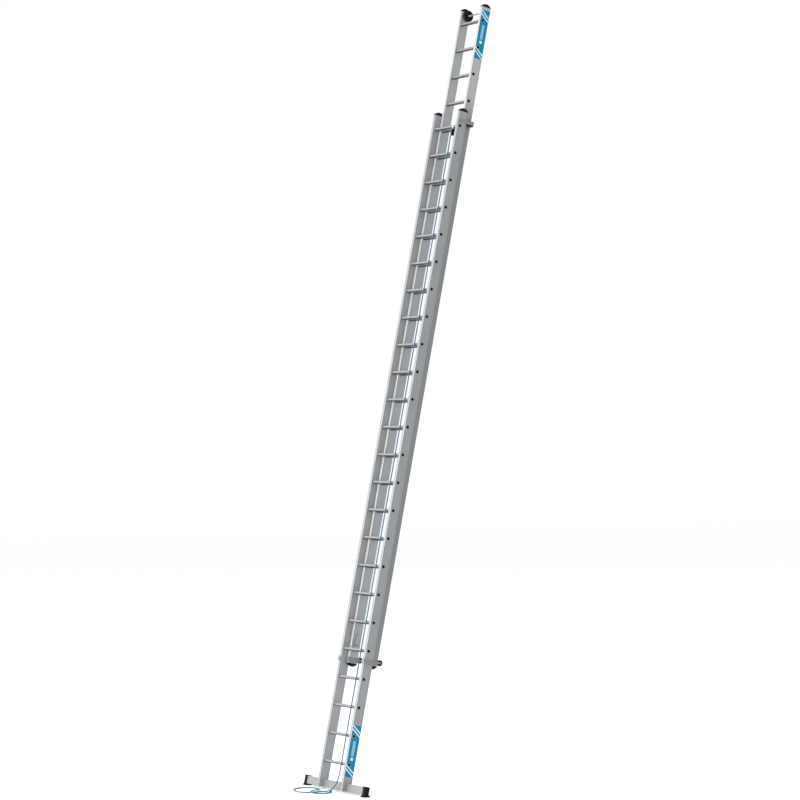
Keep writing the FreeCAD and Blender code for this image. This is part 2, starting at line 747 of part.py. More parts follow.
roller_at = (ROLLER_Y, f"{fly_first} + {ROLLER_Z}")
bracket_fixings, roller_bolts = [], []
for name, side in SIDES:
    band = span_box(f"band_{name}", side, BAND_X, (LIP_Y[0], CROSS_Y[1]), fly_heights(BAND))
    lip_heights = fly_heights((BAND[0], BAND[1] + LIP_RISE))
    lip = span_box(f"front_lip_{name}", side, (LIP_INNER_X, BAND_X[1]), LIP_Y, lip_heights)
    lip = round_edges(
        f"rounded_lip_{name}",
        lip,
        LIP_ROUND,
        lambda edge, point: along(edge, V(0, 1, 0)) and abs(point.x) < LIP_INNER_X + 1,
    )
    cross = span_box(f"cross_{name}", side, ("fly_half_width", BAND_X[1]), CROSS_Y, fly_heights(BAND))
    cheek = span_box(
        f"cheek_{name}",
        side,
        ("fly_half_width", f"fly_half_width + {PLATE}"),
        (CROSS_Y[0], REAR),
        fly_heights(CHEEK),
    )

    def arm_of(tag, x_range):
        """A short arm behind the stile with a round end, which carries the roller's bolt."""
        straight = span_box(f"{tag}_arm_{name}", side, x_range, (f"{REAR} - 2", ROLLER_Y), fly_heights(ARM))
        end = side_rod(f"{tag}_arm_end_{name}", side, ARM_ROUND, x_range, *roller_at)
        return [straight, end]

    outer_x = ("fly_half_width", f"fly_half_width + {PLATE}")
    inner_x = (f"{INNER_FACE} - {PLATE}", INNER_FACE)

    def bolt_holes(tag, x_range):
        wide = (f"( {x_range[0]} ) - 1", f"( {x_range[1]} ) + 1")
        tools = [side_rod(f"{tag}_axle_{name}", side, "bolt_hole_radius", wide, *roller_at)]
        for number, (depth, height) in enumerate(bracket_bolts):
            place_at = (depth, f"{fly_first} + {height}")
            tools.append(side_rod(f"{tag}_fix_{name}_{number}", side, PILOT_RADIUS, wide, *place_at))
        return tools

    outer = fuse(f"outer_blank_{name}", [band, lip, cross, cheek] + arm_of("outer", outer_x))
    outer = round_edges(
        f"outer_round_{name}",
        outer,
        BAND_ROUND,
        lambda edge, point: along(edge, V(0, 0, 1))
        and abs(abs(point.x) - BAND_X[1]) < 0.01
        and (abs(point.y - LIP_Y[0]) < 0.01 or abs(point.y - CROSS_Y[1]) < 0.01),
    )
    keep(cut(f"lower_bracket_{name}", outer, bolt_holes("outer", outer_x)), f"lower_bracket_{name}")

    plate = span_box(f"plate_{name}", side, inner_x, (f"fly_front - {PLATE}", REAR), fly_heights(CHEEK))
    wrap = span_box(
        f"plate_wrap_{name}",
        side,
        (inner_x[0], "fly_half_width + 1"),
        (f"fly_front - {PLATE}", "fly_front"),
        fly_heights(CHEEK),
    )
    inner = fuse(f"inner_blank_{name}", [plate, wrap] + arm_of("inner", inner_x))
    keep(cut(f"lower_plate_{name}", inner, bolt_holes("inner", inner_x)), f"lower_plate_{name}")

    glide_heights = fly_heights((BAND[0] + GLIDE_INSET, BAND[1] - GLIDE_INSET))
    side_glide_x = (f"base_half_width + {SIDE_GLIDE_GAP}", BAND_X[0])
    rear_glide_y = (f"stile_depth + {GLIDE_GAP}", CROSS_Y[0])
    glides = [
        span_box(f"side_glide_{name}", side, side_glide_x, SIDE_GLIDE_Y, glide_heights),
        span_box(f"front_glide_{name}", side, FRONT_GLIDE_X, (LIP_Y[1], -GLIDE_GAP), glide_heights),
        span_box(f"rear_glide_{name}", side, REAR_GLIDE_X, rear_glide_y, glide_heights),
    ]
    keep(group(f"lower_glides_{name}", glides), f"lower_glides_{name}")

    # bolts through the stile and both plates
    for number, (depth, height) in enumerate(bracket_bolts):
        where = (depth, f"{fly_first} + {height}")
        tag = f"{name}_{number}"
        nut_x = (f"{inner_x[0]} - {FIX_HEAD_HEIGHT}", inner_x[0])
        head_x = (outer_x[1], f"{outer_x[1]} + {FIX_HEAD_HEIGHT}")
        shank_x = (f"{inner_x[0]} - {FIX_HEAD_HEIGHT + THREAD_PAST_HEAD}", head_x[1])
        parts = [
            side_rod(f"fix_{tag}", side, FIX_RADIUS, shank_x, *where),
            side_rod(f"fix_nut_{tag}", side, FIX_HEAD_RADIUS, nut_x, *where),
            side_rod(f"fix_head_{tag}", side, FIX_HEAD_RADIUS, head_x, *where),
        ]
        bracket_fixings.append(fuse(f"bracket_bolt_{tag}", parts))

    # the roller's bolt, with a shoulder on each side of the roller
    nut_x = (f"{inner_x[0]} - {ROLLER_HEAD_HEIGHT}", inner_x[0])
    head_x = (outer_x[1], f"{outer_x[1]} + {ROLLER_HEAD_HEIGHT}")
    shank_x = (f"{inner_x[0]} - {ROLLER_HEAD_HEIGHT + THREAD_PAST_HEAD}", head_x[1])
    shoulder_in_x = (INNER_FACE, SHOULDER_X[0])
    shoulder_out_x = (SHOULDER_X[1], "fly_half_width")
    parts = [
        side_rod(f"roller_shank_{name}", side, "bolt_radius", shank_x, *roller_at),
        side_rod(f"roller_nut_{name}", side, ROLLER_HEAD_RADIUS, nut_x, *roller_at),
        side_rod(f"roller_head_{name}", side, ROLLER_HEAD_RADIUS, head_x, *roller_at),
        side_rod(f"roller_shoulder_in_{name}", side, SHOULDER_RADIUS, shoulder_in_x, *roller_at),
        side_rod(f"roller_shoulder_out_{name}", side, SHOULDER_RADIUS, shoulder_out_x, *roller_at),
    ]
    roller_bolts.append(fuse(f"roller_bolt_{name}", parts))
keep(group("lower_bracket_bolts", bracket_fixings), "lower_bracket_bolts")
keep(group("lower_roller_bolts", roller_bolts), "lower_roller_bolts")


def turned(name, profile, centre):
    """A round piece about an axis along X: profile holds (distance along X, radius) points."""
    body = new_body(name)
    offset = (str(centre[0]), str(centre[2]), str(-centre[1]))
    sketch = new_sketch(body, f"{name}_profile", "XZ_Plane", offset)
    add_outline(sketch, [(x, radius, 0) for x, radius in profile])
    feature = body.newObject("PartDesign::Revolution", f"{name}_turned")
    feature.Profile = sketch
    feature.ReferenceAxis = (sketch, ["H_Axis"])
    feature.Angle = 360
    doc.recompute()
    return body


def disc_profile(half_width, radius, bore, edge):
    """A plain wheel with chamfered rims."""
    return [
        (-half_width, bore),
        (-half_width, radius - edge),
        (-half_width + edge, radius),
        (half_width - edge, radius),
        (half_width, radius - edge),
        (half_width, bore),
    ]


LOWER_ROLLER_RADIUS = 30
LOWER_ROLLER_X = 187
LOWER_ROLLER_HALF = 12
LOWER_ROLLER_EDGE = 3
pin_bore = size("bolt_radius") + size("running_clearance")
for name, side in SIDES:
    centre = (side * LOWER_ROLLER_X, ROLLER_Y, fly_level + ROLLER_Z)
    outline = disc_profile(LOWER_ROLLER_HALF, LOWER_ROLLER_RADIUS, pin_bore, LOWER_ROLLER_EDGE)
    keep(turned(f"lower_roller_{name}", outline, centre), f"lower_roller_{name}")

# ------------------------------------------------ wall rollers at the fly's top

axle_level = size("rung_pitch") * (size("fly_lead") + size("rung_count") - 1) + size("axle_above_rung")
axle_depth = size("axle_depth")
axle_text = ("axle_depth", f"{fly_last} + axle_above_rung")
inner_face = size("fly_half_width") - size("fly_thick")
roller_x = inner_face - size("roller_gap") - size("roller_width") / 2
AXLE_IN_STILE = 10
axle_half = f"( {INNER_FACE} + {AXLE_IN_STILE} )"
axle_rod = rod("axle_rod", "axle_radius", f"2 * {axle_half}", (f"-{axle_half}", *axle_text))
keep(group("roller_axle", [axle_rod]), "roller_axle")

half = size("roller_width") / 2
bore = size("axle_radius") + size("running_clearance")
hub_radius = size("hub_radius")
tyre_radius = size("tyre_radius")
RIM_THICK = 5
BOSS_RADIUS = 17
BOSS_FOOT_RADIUS = 19
rim_inner = hub_radius - RIM_THICK
# half widths of the boss, the rim and the web between them
boss_half, rim_half, web_half = half - 0.4, half - 3, half - 8
hub_outline = [
    (-boss_half, bore),
    (-boss_half, BOSS_RADIUS),
    (-web_half, BOSS_FOOT_RADIUS),
    (-web_half, rim_inner),
    (-rim_half, rim_inner),
    (-rim_half, hub_radius),
    (rim_half, hub_radius),
    (rim_half, rim_inner),
    (web_half, rim_inner),
    (web_half, BOSS_FOOT_RADIUS),
    (boss_half, BOSS_RADIUS),
    (boss_half, bore),
]
# the tyre's tread meets its sides through two chamfers: (in from the side, down from the tread)
shoulder = [(0, 7), (2, 3), (6, 0)]
tyre_outline = [
    (-half, hub_radius),
    *[(-half + inwards, tyre_radius - down) for inwards, down in shoulder],
    *[(half - inwards, tyre_radius - down) for inwards, down in reversed(shoulder)],
    (half, hub_radius),
]
SLEEVE_RADIUS = 10
SLEEVE_LENGTH = 54
WASHER_RADIUS = 13
AXLE_PLAY = 0.3
sleeves, washers = [], []
for name, side in SIDES:
    centre = (side * roller_x, axle_depth, axle_level)
    keep(turned(f"wall_roller_hub_{name}", hub_outline, centre), f"wall_roller_hub_{name}")
    keep(turned(f"wall_roller_tyre_{name}", tyre_outline, centre), f"wall_roller_tyre_{name}")
    near = "fly_half_width - fly_thick - roller_gap - roller_width"
    sleeve_x = (f"{near} - {SLEEVE_LENGTH}", f"{near} - {AXLE_PLAY}")
    sleeve = side_rod(f"sleeve_blank_{name}", side, SLEEVE_RADIUS, sleeve_x, *axle_text)
    sleeve_bore = side_rod(f"sleeve_bore_{name}", side, "axle_radius", sleeve_x, *axle_text)
    sleeves.append(cut(f"axle_sleeve_{name}", sleeve, [sleeve_bore]))
    span = (f"{INNER_FACE} - roller_gap + {AXLE_PLAY}", INNER_FACE)
    washer = side_rod(f"washer_blank_{name}", side, WASHER_RADIUS, span, *axle_text)
    washer_bore = side_rod(f"washer_bore_{name}", side, "axle_radius", span, *axle_text)
    washers.append(cut(f"axle_washer_{name}", washer, [washer_bore]))
keep(group("axle_sleeves", sleeves), "axle_sleeves")
keep(group("axle_washers", washers), "axle_washers")

# ------------------------------------------------ rung hooks, swung up clear of the base rungs

HOOK_X = (160, 165)
# the outline with the hook down on a base rung, from the pivot: (towards the rear, up)
hook_down = [
    (-115, -54),
    (-106, -54),
    (-104, -33),
    (-62, -33),
    (-48, -24),
    (-14, -20),
    (8, -14),
    (14, 0),
    (10, 12),
    (-14, 14),
    (-78, 6),
    (-108, -8),
    (-115, -20),
]
HOOK_TURN = 115
HOOK_PLAY = 0.4
PIVOT_HEAD_RADIUS = 8
PIVOT_HEAD_END = 5
PIVOT_NUT_RADIUS = 7
PIVOT_NUT_HEIGHT = 6
HOOK_TUBE_RADIUS = 8
parked = FreeCAD.Rotation(V(1, 0, 0), -HOOK_TURN)
# the stop pin touches the middle of the hook's long upper edge
STOP_RADIUS = 4
edge_start, edge_end = V(0, -78, 6), V(0, -14, 14)
edge_way = (edge_end - edge_start).normalize()
edge_out = V(0, -edge_way.z, edge_way.y)
stop_at = parked.multVec((edge_start + edge_end) / 2 + edge_out * (STOP_RADIUS + 0.02))
pivots, hook_spacers = [], []
for name, side in SIDES:
    body = new_body(f"rung_hook_{name}")
    pivot_y, pivot_z = hook_pivot[0], fly_level + hook_pivot[1]
    middle_x = side * sum(HOOK_X) / 2
    pivot_offset = (str(pivot_y), str(pivot_z), str(middle_x))
    outline = new_sketch(body, f"hook_outline_{name}", "YZ_Plane", pivot_offset)
    # stored swung up and back, against its stop
    corners = [parked.multVec(V(0, rearward, up)) for rearward, up in hook_down]
    add_outline(outline, [(corner.y, corner.z, 0) for corner in corners])
    pad(body, outline, str(HOOK_X[1] - HOOK_X[0]), middle=True)
    eye = new_sketch(body, f"hook_eye_{name}", "YZ_Plane", pivot_offset)
    add_circle(eye, "bolt_radius + running_clearance")
    pocket(body, eye)
    keep(body, f"rung_hook_{name}")
    where = (pivot_y, f"{fly_first} + {hook_pivot[1]}")
    wall_rear = f"{INNER_FACE} + wall"
    shank = side_rod(f"pivot_{name}", side, "bolt_radius", (HOOK_X[0] - HOOK_PLAY, wall_rear), *where)
    head_x = (HOOK_X[0] - PIVOT_HEAD_END, HOOK_X[0] - HOOK_PLAY)
    head = side_rod(f"pivot_head_{name}", side, PIVOT_HEAD_RADIUS, head_x, *where)
    nut_x = (wall_rear, f"{wall_rear} + {PIVOT_NUT_HEIGHT}")
    inner_nut = side_rod(f"pivot_nut_{name}", side, PIVOT_NUT_RADIUS, nut_x, *where)
    pivots.append(fuse(f"hook_pivot_{name}", [shank, head, inner_nut]))
    tube_x = (HOOK_X[1] + HOOK_PLAY, INNER_FACE)
    tube = side_rod(f"hook_tube_{name}", side, HOOK_TUBE_RADIUS, tube_x, *where)
    tube_bore = side_rod(f"hook_tube_bore_{name}", side, "bolt_hole_radius", tube_x, *where)
    hook_spacers.append(cut(f"hook_spacer_{name}", tube, [tube_bore]))
    stop_level = f"{fly_first} + {hook_pivot[1] + stop_at.z}"
    stop_x = (HOOK_X[0], INNER_FACE)
    stop = side_rod(f"hook_stop_{name}", side, STOP_RADIUS, stop_x, pivot_y + stop_at.y, stop_level)
    hook_spacers.append(stop)
keep(group("hook_pivots", pivots), "hook_pivots")
keep(group("hook_spacers_and_stops", hook_spacers), "hook_spacers_and_stops")

# ------------------------------------------------ pulley under the base's top rung

rope_x = size("rope_offset")
top_rung = size("rung_pitch") * (size("rung_count") - 1)
rung_y = size("rung_setback")
sheave_z = top_rung - size("sheave_drop")
sheave_text = ("rung_setback", f"{base_last} - sheave_drop")
half = size("sheave_width") / 2
sheave_bore = size("pin_radius") + size("running_clearance")
groove = size("sheave_pitch_radius") - size("rope_radius")
keep(
    turned(
        "pulley_sheave",
        [
            (-half, sheave_bore),
            (-half, size("sheave_radius")),
            (-half + 0.6, size("sheave_radius")),
            (-6.6, groove + 6),
            (-5.2, groove + 2),
            (-2.6, groove - 0.1),
            (2.6, groove - 0.1),
            (5.2, groove + 2),
            (6.6, groove + 6),
            (half - 0.6, size("sheave_radius")),
            (half, size("sheave_radius")),
            (half, sheave_bore),
        ],
        (rope_x, rung_y, sheave_z),
    ),
    "pulley_sheave",
)
CHEEK_THICK = 2.5
CHEEK_GAP = 0.8
CHEEK_RADIUS = 17
CHEEK_TOP = 30
NECK_HEIGHT = 10
NECK_FOOT = 33
STRAP_DROP = 10
STRAP_BEND = 6
PIN_HEAD_RADIUS = 6.5
PIN_HEAD_HEIGHT = 2
STRAP_WIDTH = 20
STRAP_THICK = 2.5
cheeks = []
for tag, side in SIDES:
    start = f"rope_offset + {side} * ( sheave_width / 2 + {CHEEK_GAP} )"
    low = start if side > 0 else f"{start} - {CHEEK_THICK}"
    sheave_level = f"{base_last} - sheave_drop"
    cheeks.append(
        box(
            f"cheek_plate_{tag}",
            (CHEEK_THICK, 2 * CHEEK_RADIUS, f"sheave_drop - {CHEEK_TOP}"),
            (low, f"rung_setback - {CHEEK_RADIUS}", sheave_level),
        )
    )
    cheeks.append(rod(f"cheek_round_{tag}", CHEEK_RADIUS, CHEEK_THICK, (low, "rung_setback", sheave_level)))
neck_width = f"sheave_width + {2 * CHEEK_GAP + 2 * CHEEK_THICK}"
neck = box(
    "pulley_neck",
    (neck_width, 2 * CHEEK_RADIUS, NECK_HEIGHT),
    (f"rope_offset - ( {neck_width} ) / 2", f"rung_setback - {CHEEK_RADIUS}", f"{base_last} - {NECK_FOOT}"),
)
strap = box(
    "pulley_strap",
    (STRAP_WIDTH, f"rung_depth + {2 * STRAP_THICK}", f"rung_height + {STRAP_DROP + STRAP_THICK}"),
    (
        f"rope_offset - {STRAP_WIDTH / 2}",
        f"rung_setback - rung_depth / 2 - {STRAP_THICK}",
        f"{base_last} - rung_height / 2 - {STRAP_DROP}",
    ),
)
strap = round_edges(
    "pulley_strap_round",
    strap,
    STRAP_BEND,
    lambda edge, point: along(edge, V(1, 0, 0)) and point.z > top_rung,
)
held_rung = doc.addObject("Part::Feature", "held_rung")
held_rung.Shape = base_rung.Shape.translated(V(0, rung_y, top_rung))
pin_hole = rod("pin_hole", "pin_radius", 60, ("rope_offset - 30", *sheave_text))
through_rung = ("rope_offset - 30", "rung_setback", base_last)
rung_inside = rod("rung_inside", "rung_bore_radius + 1", 60, through_rung)
block = fuse("pulley_block_blank", cheeks + [neck, strap])
keep(cut("pulley_block", block, [pin_hole, held_rung, rung_inside]), "pulley_block")
pin_half = size("sheave_width") / 2 + CHEEK_GAP + CHEEK_THICK
pin_left = rope_x - pin_half - PIN_HEAD_HEIGHT
pin_parts = [
    rod("pin_shank", "pin_radius", 2 * pin_half, (rope_x - pin_half, *sheave_text)),
    rod("pin_head_left", PIN_HEAD_RADIUS, PIN_HEAD_HEIGHT, (pin_left, *sheave_text)),
    rod("pin_head_right", PIN_HEAD_RADIUS, PIN_HEAD_HEIGHT, (rope_x + pin_half, *sheave_text)),
]
keep(fuse("pulley_pin", pin_parts), "pulley_pin")

# ------------------------------------------------ labels

LABEL_THICK = 0.4
LABEL_INSET = 0.2
LABEL_HOLE_GAP = 0.4
BASE_LABEL = (-118, 390)
FLY_LABEL = (-115, 108)


def label_film(name, face, front, low, high, levels):
    """A printed film on the outer side of the right stile, cut out round the rungs' collars."""
    film = span_box(
        f"{name}_film",
        1,
        (face, f"{face} + {LABEL_THICK}"),
        (f"{front} + stile_round + {LABEL_INSET}", f"{front} + stile_depth - stile_round - {LABEL_INSET}"),
        (low, high),
    )
    holes = []
    for number, height in enumerate(levels):
        where = (f"{front} + rung_setback", height)
        through = (f"{face} - 1", f"{face} + 2")
        radius = f"collar_radius + {LABEL_HOLE_GAP}"
        holes.append(side_rod(f"{name}_hole_{number}", 1, radius, through, *where))
    keep(cut(name, film, holes), name)


label_film("base_label", "base_half_width", "0", BASE_LABEL[0], BASE_LABEL[1], ("0", "rung_pitch"))
label_film(
    "fly_label",
    "fly_half_width",
    "fly_front",
    f"{fly_last} - rung_pitch + {FLY_LABEL[0]}",
    f"{fly_last} + {FLY_LABEL[1]}",
    (f"{fly_last} - rung_pitch", fly_last),
)

# ------------------------------------------------ rope

rope_radius = size("rope_radius")
CORNER_SHARE = 0.45


def rounded_path(points, radii=None):
    """Straight runs joined by tangent arcs. Returns the edges, their length and the arcs' radii."""
    edges, found = [], []
    start = points[0]
    for i in range(1, len(points) - 1):
        corner = points[i]
        back, ahead = points[i - 1] - corner, points[i + 1] - corner
        half_turn = (math.pi - back.getAngle(ahead)) / 2
        if radii and i in radii:
            radius = radii[i]
        else:
            radius = CORNER_SHARE * min(back.Length, ahead.Length) / math.tan(half_turn)
        reach = radius * math.tan(half_turn)
        enter = corner + V(back).normalize() * reach
        leave = corner + V(ahead).normalize() * reach
        inwards = (V(back).normalize() + V(ahead).normalize()).normalize()
        middle = corner + inwards * (radius / math.cos(half_turn) - radius)
        if (enter - start).Length > 1e-3:
            edges.append(Part.LineSegment(start, enter).toShape())
        edges.append(Part.Arc(enter, middle, leave).toShape())
        found.append(radius)
        start = leave
    edges.append(Part.LineSegment(start, points[-1]).toShape())
    return edges, sum(edge.Length for edge in edges), found


def rope_tube(label, points, radii=None):
    """A tube of the rope's section along a route, in the frame the route is given in."""
    edges, length, found = rounded_path(points, radii)
    path = Part.Wire(edges)
    direction = edges[0].tangentAt(edges[0].FirstParameter)
    ring = Part.Wire(Part.makeCircle(rope_radius, points[0], direction))
    solid = path.makePipeShell([ring], True, False)
    section = math.pi * rope_radius**2
    share = solid.Volume / section / length
    print(f"{label}: length {length:.0f} mm, volume / (section x length) {share:.4f}")
    print(f"  arc radii {[round(r) for r in found]}")
    obj = doc.addObject("Part::Feature", label)
    obj.Shape = solid
    return obj


# The hand strand. It starts behind the sheave, goes over it and straight down the front of the rungs.
strand_front = rung_y - size("sheave_pitch_radius")
strand_rear = rung_y + size("sheave_pitch_radius")
octagon = size("sheave_pitch_radius") / math.cos(math.pi / 8)
over_sheave = []
for number in range(4):
    angle = math.pi / 8 + number * math.pi / 4
    over_sheave.append(V(rope_x, rung_y + octagon * math.cos(angle), sheave_z + octagon * math.sin(angle)))
hand_start = V(rope_x, strand_rear, sheave_z)
strand_end = V(rope_x, strand_front, 10)
# below the lowest rung it falls free and lies on the floor: (right, rear, up) with the floor at 0
ON_FLOOR = rope_radius + 0.2
# it crosses over itself on a low hump that clears the strand beneath by one diameter
HUMP = 4 * rope_radius
floor_route = [
    V(132, -33, 225),
    V(122, -44, 150),
    V(104, -56, 90),
    V(74, -74, 44),
    V(50, -96, 17),
    V(24, -124, ON_FLOOR),
    V(6, -164, ON_FLOOR),
    V(0, -222, ON_FLOOR),
    V(-2, -290, ON_FLOOR),
    V(-26, -348, ON_FLOOR),
    V(-86, -376, ON_FLOOR),
    V(-172, -370, ON_FLOOR),
    V(-262, -336, ON_FLOOR),
    V(-330, -276, ON_FLOOR),
    V(-354, -204, ON_FLOOR),
    V(-334, -136, ON_FLOOR),
    V(-280, -94, ON_FLOOR),
    V(-206, -84, ON_FLOOR),
    V(-138, -112, ON_FLOOR),
    V(-84, -158, ON_FLOOR + 9),
    V(-34, -218, ON_FLOOR + HUMP),
    V(16, -303, ON_FLOOR + HUMP),
    V(70, -318, ON_FLOOR + 10),
    V(116, -281, ON_FLOOR),
    V(142, -226, ON_FLOOR),
    V(135, -170, ON_FLOOR),
    V(106, -132, ON_FLOOR),
]
route = [hand_start, *over_sheave, strand_end] + [level.multVec(point) for point in floor_route]
pulley_radii = {i: size("sheave_pitch_radius") for i in range(1, 5)}
keep(rope_tube("rope_hand_strand", route, pulley_radii), "rope_hand_strand")

# The end knot: a short fat barrel on the rope's end
KNOT_LENGTH = 30
KNOT_RADIUS = 11
KNOT_ROUND = 5
knot_at = floor_route[-1]
knot_way = (floor_route[-1] - floor_route[-2]).normalize()
knot_turn = FreeCAD.Rotation(V(0, 0, 1), knot_way)
knot_lift = V(0, 0, KNOT_RADIUS + 0.2 - ON_FLOOR)
barrel = doc.addObject("Part::Cylinder", "knot_barrel")
barrel.Radius = KNOT_RADIUS
barrel.Height = KNOT_LENGTH
barrel.Placement = level.multiply(FreeCAD.Placement(knot_at + knot_lift, knot_turn))
knot = round_edges(
    "knot_round",
    barrel,
    KNOT_ROUND,
    lambda edge, point: edge.Curve.TypeId == "Part::GeomCircle",
)
keep(group("rope_end_knot", [knot]), "rope_end_knot")

# The lift strand, taut from the sheave down to the fly's lowest rung, and the loop that ties it there
fly_rung_y = size("fly_front") + size("rung_setback")
LOOP_RADIUS = 27
TIE_RADIUS = 12
tie_y = fly_rung_y - LOOP_RADIUS
tie = V(rope_x, tie_y, fly_level + 6)
strand = doc.addObject("Part::Feature", "rope_lift_strand")
way = (tie - hand_start).normalize()
reach = (tie - hand_start).Length - TIE_RADIUS
strand.Shape = Part.makeCylinder(rope_radius, reach, hand_start, way)
keep(strand, "rope_lift_strand")

loop = doc.addObject("Part::Torus", "tie_loop")
loop.Radius1 = LOOP_RADIUS
loop.Radius2 = rope_radius
loop.Placement = FreeCAD.Placement(V(rope_x, fly_rung_y, fly_level), FreeCAD.Rotation(V(0, 1, 0), 90))
ball = doc.addObject("Part::Sphere", "tie_ball")
ball.Radius = TIE_RADIUS
ball.Placement = FreeCAD.Placement(tie, FreeCAD.Rotation())
seat = doc.addObject("Part::Cylinder", "tie_seat")
seat.Radius = rope_radius
seat.Height = 2 * TIE_RADIUS
seat.Placement = FreeCAD.Placement(tie - way * (3 * TIE_RADIUS), FreeCAD.Rotation(V(0, 0, 1), way))
keep(cut("rope_tie", fuse("tie_blank", [loop, ball]), [seat]), "rope_tie")

# ------------------------------------------------ check and write

doc.recompute()
for obj in doc.Objects:
    if {"Invalid", "Error"} & set(obj.State):
        raise RuntimeError(f"{obj.Name} failed: {obj.State}")
labels = [obj.Label for obj in kept]
if len(set(labels)) != len(labels):
    raise RuntimeError("two pieces have one name")
os.makedirs("parts", exist_ok=True)
for obj in kept:
    if obj.Shape.isNull() or not obj.Shape.isValid() or not obj.Shape.Solids:
        raise RuntimeError(f"{obj.Label} has no sound shape")
    obj.Shape.exportStep(f"parts/{obj.Label}.step")
print(f"{len(kept)} pieces, {sum(len(obj.Shape.Solids) for obj in kept)} solids")
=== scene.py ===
import math

import bmesh
import bpy
from mathutils import Matrix, Vector


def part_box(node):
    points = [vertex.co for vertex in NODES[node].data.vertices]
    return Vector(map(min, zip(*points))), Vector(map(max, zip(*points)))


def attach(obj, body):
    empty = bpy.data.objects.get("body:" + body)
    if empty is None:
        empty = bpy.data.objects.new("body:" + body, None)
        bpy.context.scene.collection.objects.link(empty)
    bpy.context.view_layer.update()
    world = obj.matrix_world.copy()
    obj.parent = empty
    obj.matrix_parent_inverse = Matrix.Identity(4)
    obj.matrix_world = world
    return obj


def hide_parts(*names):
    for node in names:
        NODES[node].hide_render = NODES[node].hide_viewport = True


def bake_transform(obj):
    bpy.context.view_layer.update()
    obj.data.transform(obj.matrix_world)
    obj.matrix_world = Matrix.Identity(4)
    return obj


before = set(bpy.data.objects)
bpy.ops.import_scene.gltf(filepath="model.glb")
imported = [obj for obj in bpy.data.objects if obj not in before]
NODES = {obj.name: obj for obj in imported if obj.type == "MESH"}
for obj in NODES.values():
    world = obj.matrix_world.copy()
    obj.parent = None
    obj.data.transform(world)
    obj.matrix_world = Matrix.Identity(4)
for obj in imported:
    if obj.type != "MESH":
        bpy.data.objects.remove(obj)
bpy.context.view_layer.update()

LEAN = math.radians(11.6)  # how far the ladder leans back
LEAN_MATRIX = Matrix.Rotation(-LEAN, 4, "X")
PITCH = 0.280
FLY_LEVEL = 4 * PITCH
STRAND_X = 0.135
RUNG_Y = 0.033
FLY_RUNG_Y = 0.1075
TOP_RUNG_Z = 23 * PITCH
SHEAVE_Z = TOP_RUNG_Z - 0.066
ROPE_RADIUS = 0.006
BASE_HALF_WIDTH = 0.240
FLY_HALF_WIDTH = 0.203
FLY_FRONT = 0.0745  # how far the fly's stiles stand behind the base's front faces
# where the ladder's own origin lies: level with the base's lowest rung, at the stiles' front faces
sheave_low, sheave_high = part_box("pulley_sheave")
SHEAVE = (sheave_low + sheave_high) / 2
LEAN_SHIFT = SHEAVE - LEAN_MATRIX @ Vector((STRAND_X, RUNG_Y, SHEAVE_Z))


def leaned(x, y, z):
    """A point given along the ladder (right, depth, up the stiles) in the row frame."""
    return LEAN_MATRIX @ Vector((x, y, z)) + LEAN_SHIFT


# ---------------------------------------------------------------- camera

camera_data = bpy.data.cameras.new("camera")
camera_data.lens = 123.28
camera_data.sensor_width = 36
camera_data.shift_y = 0.03
camera_data.clip_end = 400
camera = bpy.data.objects.new("camera", camera_data)
camera.location = (23.1202, -13.7836, 3.4966)
camera.rotation_mode = "QUATERNION"
camera.rotation_quaternion = Vector((-0.8468, 0.5319, 0.0039)).to_track_quat("-Z", "Y")
bpy.context.scene.collection.objects.link(camera)
bpy.context.scene.camera = camera

# ---------------------------------------------------------------- rope

PITCH_RADIUS = 0.024  # from the sheave's axis to the middle of the rope on it
LONGEST_RUN = 0.05  # of a straight stretch of tube


def spline_points(points):
    """The line of a smooth NURBS spline with these control points."""
    curve = bpy.data.curves.new("route", "CURVE")
    curve.dimensions = "3D"
    curve.resolution_u = 14
    spline = curve.splines.new("NURBS")
    spline.points.add(len(points) - 1)
    for target, point in zip(spline.points, points, strict=True):
        target.co = (*point, 1)
    spline.order_u = 3
    spline.use_endpoint_u = True
    holder = bpy.data.objects.new("route", curve)
    bpy.context.scene.collection.objects.link(holder)
    bpy.context.view_layer.update()
    mesh = bpy.data.meshes.new_from_object(holder)
    line = [v.co.copy() for v in mesh.vertices]
    bpy.data.objects.remove(holder)
    bpy.data.meshes.remove(mesh)
    kept = [line[0]]
    for point in line[1:]:
        if (point - kept[-1]).length > 1e-5:
            kept.append(point)
    return kept


def subdivided(line, step):
    """The same line with no run longer than step."""
    out = [line[0]]
    for a, b in zip(line, line[1:]):
        count = max(1, math.ceil((b - a).length / step))
        out += [a.lerp(b, i / count) for i in range(1, count + 1)]
    return out


